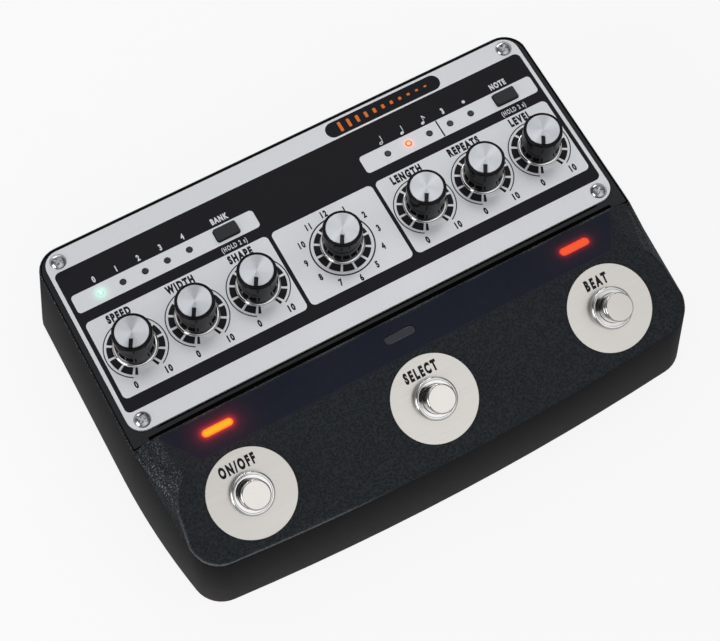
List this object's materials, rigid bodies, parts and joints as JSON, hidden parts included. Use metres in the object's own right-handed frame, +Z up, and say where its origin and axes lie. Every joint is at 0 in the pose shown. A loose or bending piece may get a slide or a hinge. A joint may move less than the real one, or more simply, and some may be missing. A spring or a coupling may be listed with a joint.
{
  "type": "delay unit",
  "caption": "Floor delay unit: footswitches on a sloping deck, rotary controls, keys and lamps on a level panel, sockets at the rear.",
  "frame": {"origin": "on the floor, under the middle of the unit", "axes": "+X to the player's right, +Y to the rear sockets, +Z up"},
  "size_m": [0.192, 0.132, 0.052],
  "materials": {
    "textured_black": "fine leather-grain black paint",
    "panel_black": "satin",
    "plate_silver": "fine satin, printed",
    "base_grey": "satin",
    "foot_rubber": "matt",
    "screw_chrome": "polished",
    "lens_amber": "lit lens",
    "lens_dark": "smoked lens",
    "lens_red": "lit lens",
    "led_white": "gloss",
    "board_green": "satin",
    "lamp_green": "lit lamp",
    "lamp_orange": "lit lamp",
    "spacer_brass": "satin",
    "control_steel": "satin",
    "ring_chrome": "polished",
    "disc_nickel": "satin, printed",
    "housing_black": "matt",
    "spring_steel": "satin",
    "socket_black": "satin",
    "chip_black": "matt",
    "ribbon_grey": "satin",
    "knob_black": "gloss",
    "cap_aluminium": "spun",
    "shaft_steel": "satin",
    "button_black": "gloss"
  },
  "bodies": {
    "case": {"chassis": "textured_black", "top_panel": "panel_black", "face_plate": "plate_silver", "base_plate": "base_grey", "rubber_feet": "foot_rubber", "panel_screws": "screw_chrome", "base_screws": "screw_chrome", "status_lens_left": "lens_amber", "status_lens_centre": "lens_dark", "status_lens_right": "lens_red", "status_leds": "led_white", "status_board": "board_green", "panel_leds_unlit": "lens_dark", "panel_led_green": "lamp_green", "panel_led_orange": "lamp_orange", "panel_board": "board_green", "main_board": "board_green", "board_spacers": "spacer_brass", "board_screws": "screw_chrome", "control_bodies": "control_steel", "knob_rings": "ring_chrome", "switch_discs": "disc_nickel", "switch_collars": "ring_chrome", "switch_bushings": "ring_chrome", "switch_housings": "housing_black", "switch_springs": "spring_steel", "switch_board": "board_green", "tact_switches": "housing_black", "phone_jacks": "socket_black", "phone_jack_nuts": "ring_chrome", "mini_jacks": "socket_black", "power_inlet": "socket_black", "delay_chips": "chip_black", "ribbon_cable": "ribbon_grey"},
    "rate_control": {"rate_knob": "knob_black", "rate_cap": "cap_aluminium", "rate_shaft": "shaft_steel"},
    "depth_control": {"depth_knob": "knob_black", "depth_cap": "cap_aluminium", "depth_shaft": "shaft_steel"},
    "variation_control": {"variation_knob": "knob_black", "variation_cap": "cap_aluminium", "variation_shaft": "shaft_steel"},
    "mode_control": {"mode_knob": "knob_black", "mode_cap": "cap_aluminium", "mode_shaft": "shaft_steel"},
    "time_control": {"time_knob": "knob_black", "time_cap": "cap_aluminium", "time_shaft": "shaft_steel"},
    "intensity_control": {"intensity_knob": "knob_black", "intensity_cap": "cap_aluminium", "intensity_shaft": "shaft_steel"},
    "volume_control": {"volume_knob": "knob_black", "volume_cap": "cap_aluminium", "volume_shaft": "shaft_steel"},
    "effect_switch": {"effect_plunger": "ring_chrome"},
    "memory_switch": {"memory_plunger": "ring_chrome"},
    "tap_switch": {"tap_plunger": "ring_chrome"},
    "memory_key": {"memory_button": "button_black"},
    "division_key": {"division_button": "button_black"}
  },
  "joints": [
    {"name": "rate_turn", "type": "hinge", "parent": "case", "child": "rate_control", "pos_m": [-0.075, 0.0159, 0.045], "axis": [0, 0, -1], "range_deg": [0, 300]},
    {"name": "depth_turn", "type": "hinge", "parent": "case", "child": "depth_control", "pos_m": [-0.053, 0.0159, 0.045], "axis": [0, 0, -1], "range_deg": [0, 300]},
    {"name": "variation_turn", "type": "hinge", "parent": "case", "child": "variation_control", "pos_m": [-0.031, 0.0159, 0.045], "axis": [0, 0, -1], "range_deg": [0, 300]},
    {"name": "mode_turn", "type": "hinge", "parent": "case", "child": "mode_control", "pos_m": [0, 0.0159, 0.045], "axis": [0, 0, -1], "continuous": true},
    {"name": "time_turn", "type": "hinge", "parent": "case", "child": "time_control", "pos_m": [0.031, 0.0159, 0.045], "axis": [0, 0, -1], "range_deg": [0, 300]},
    {"name": "intensity_turn", "type": "hinge", "parent": "case", "child": "intensity_control", "pos_m": [0.053, 0.0159, 0.045], "axis": [0, 0, -1], "range_deg": [0, 300]},
    {"name": "volume_turn", "type": "hinge", "parent": "case", "child": "volume_control", "pos_m": [0.075, 0.0159, 0.045], "axis": [0, 0, -1], "range_deg": [0, 300]},
    {"name": "effect_press", "type": "slide", "parent": "case", "child": "effect_switch", "axis": [0, 0.3987, -0.9171], "range_m": [0, 0.0025], "stiffness_N_per_m": 800, "springref_m": -0.002, "deforming": ["switch_springs"]},
    {"name": "memory_press", "type": "slide", "parent": "case", "child": "memory_switch", "axis": [0, 0.3987, -0.9171], "range_m": [0, 0.0025], "stiffness_N_per_m": 800, "springref_m": -0.002, "deforming": ["switch_springs"]},
    {"name": "tap_press", "type": "slide", "parent": "case", "child": "tap_switch", "axis": [0, 0.3987, -0.9171], "range_m": [0, 0.0025], "stiffness_N_per_m": 800, "springref_m": -0.002, "deforming": ["switch_springs"]},
    {"name": "memory_key_press", "type": "slide", "parent": "case", "child": "memory_key", "axis": [0, 0, -1], "range_m": [0, 0.0008], "stiffness_N_per_m": 60, "springref_m": -0.001},
    {"name": "division_key_press", "type": "slide", "parent": "case", "child": "division_key", "axis": [0, 0, -1], "range_m": [0, 0.0008], "stiffness_N_per_m": 60, "springref_m": -0.001}
  ]
}
